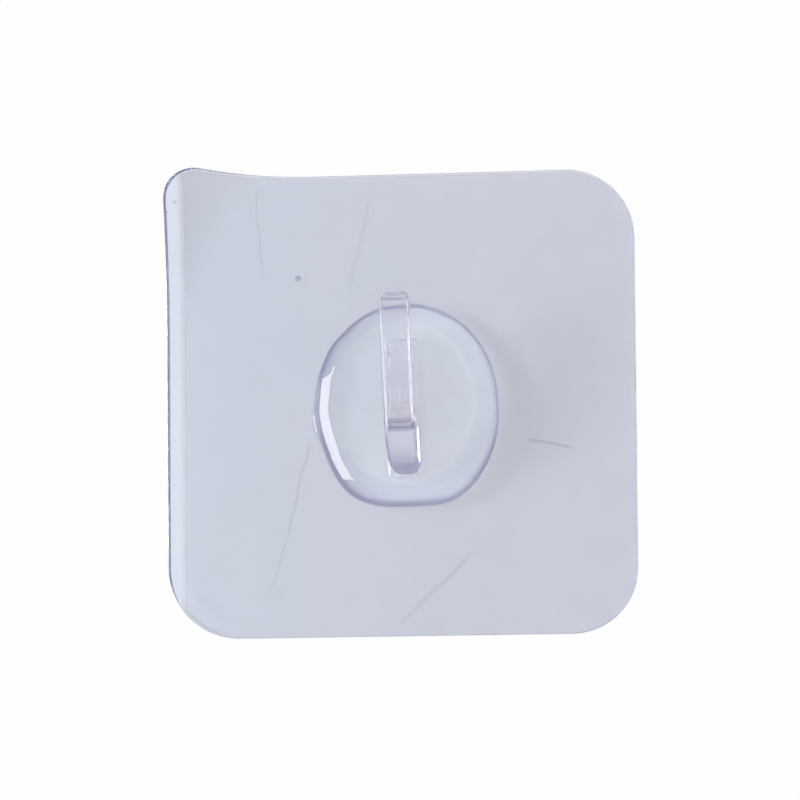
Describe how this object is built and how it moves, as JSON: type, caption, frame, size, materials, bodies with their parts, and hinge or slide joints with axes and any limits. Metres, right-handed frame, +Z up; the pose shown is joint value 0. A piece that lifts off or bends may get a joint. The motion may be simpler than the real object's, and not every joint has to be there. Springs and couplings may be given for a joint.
{
  "type": "adhesive wall hook",
  "caption": "Clear adhesive wall hook: a flexible square pad with a curled edge, a poured resin dome and a narrow J-shaped hook that opens upward.",
  "frame": {"origin": "centre of the pad's flat back face, on the wall", "axes": "+Y out of the back of the pad into the wall, +Z up the wall, +X to the right as seen from the front"},
  "size_m": [0.06, 0.0143, 0.0601],
  "materials": {
    "adhesive": "clear tacky film",
    "soft_vinyl": "smooth flexible sheet, slightly milky",
    "resin": "glossy poured resin",
    "clear_plastic": "glossy moulded plastic"
  },
  "bodies": {
    "root": {"adhesive_film": "adhesive", "pad_sheet": "soft_vinyl", "resin_dome": "resin", "hook": "clear_plastic"}
  },
  "joints": []
}
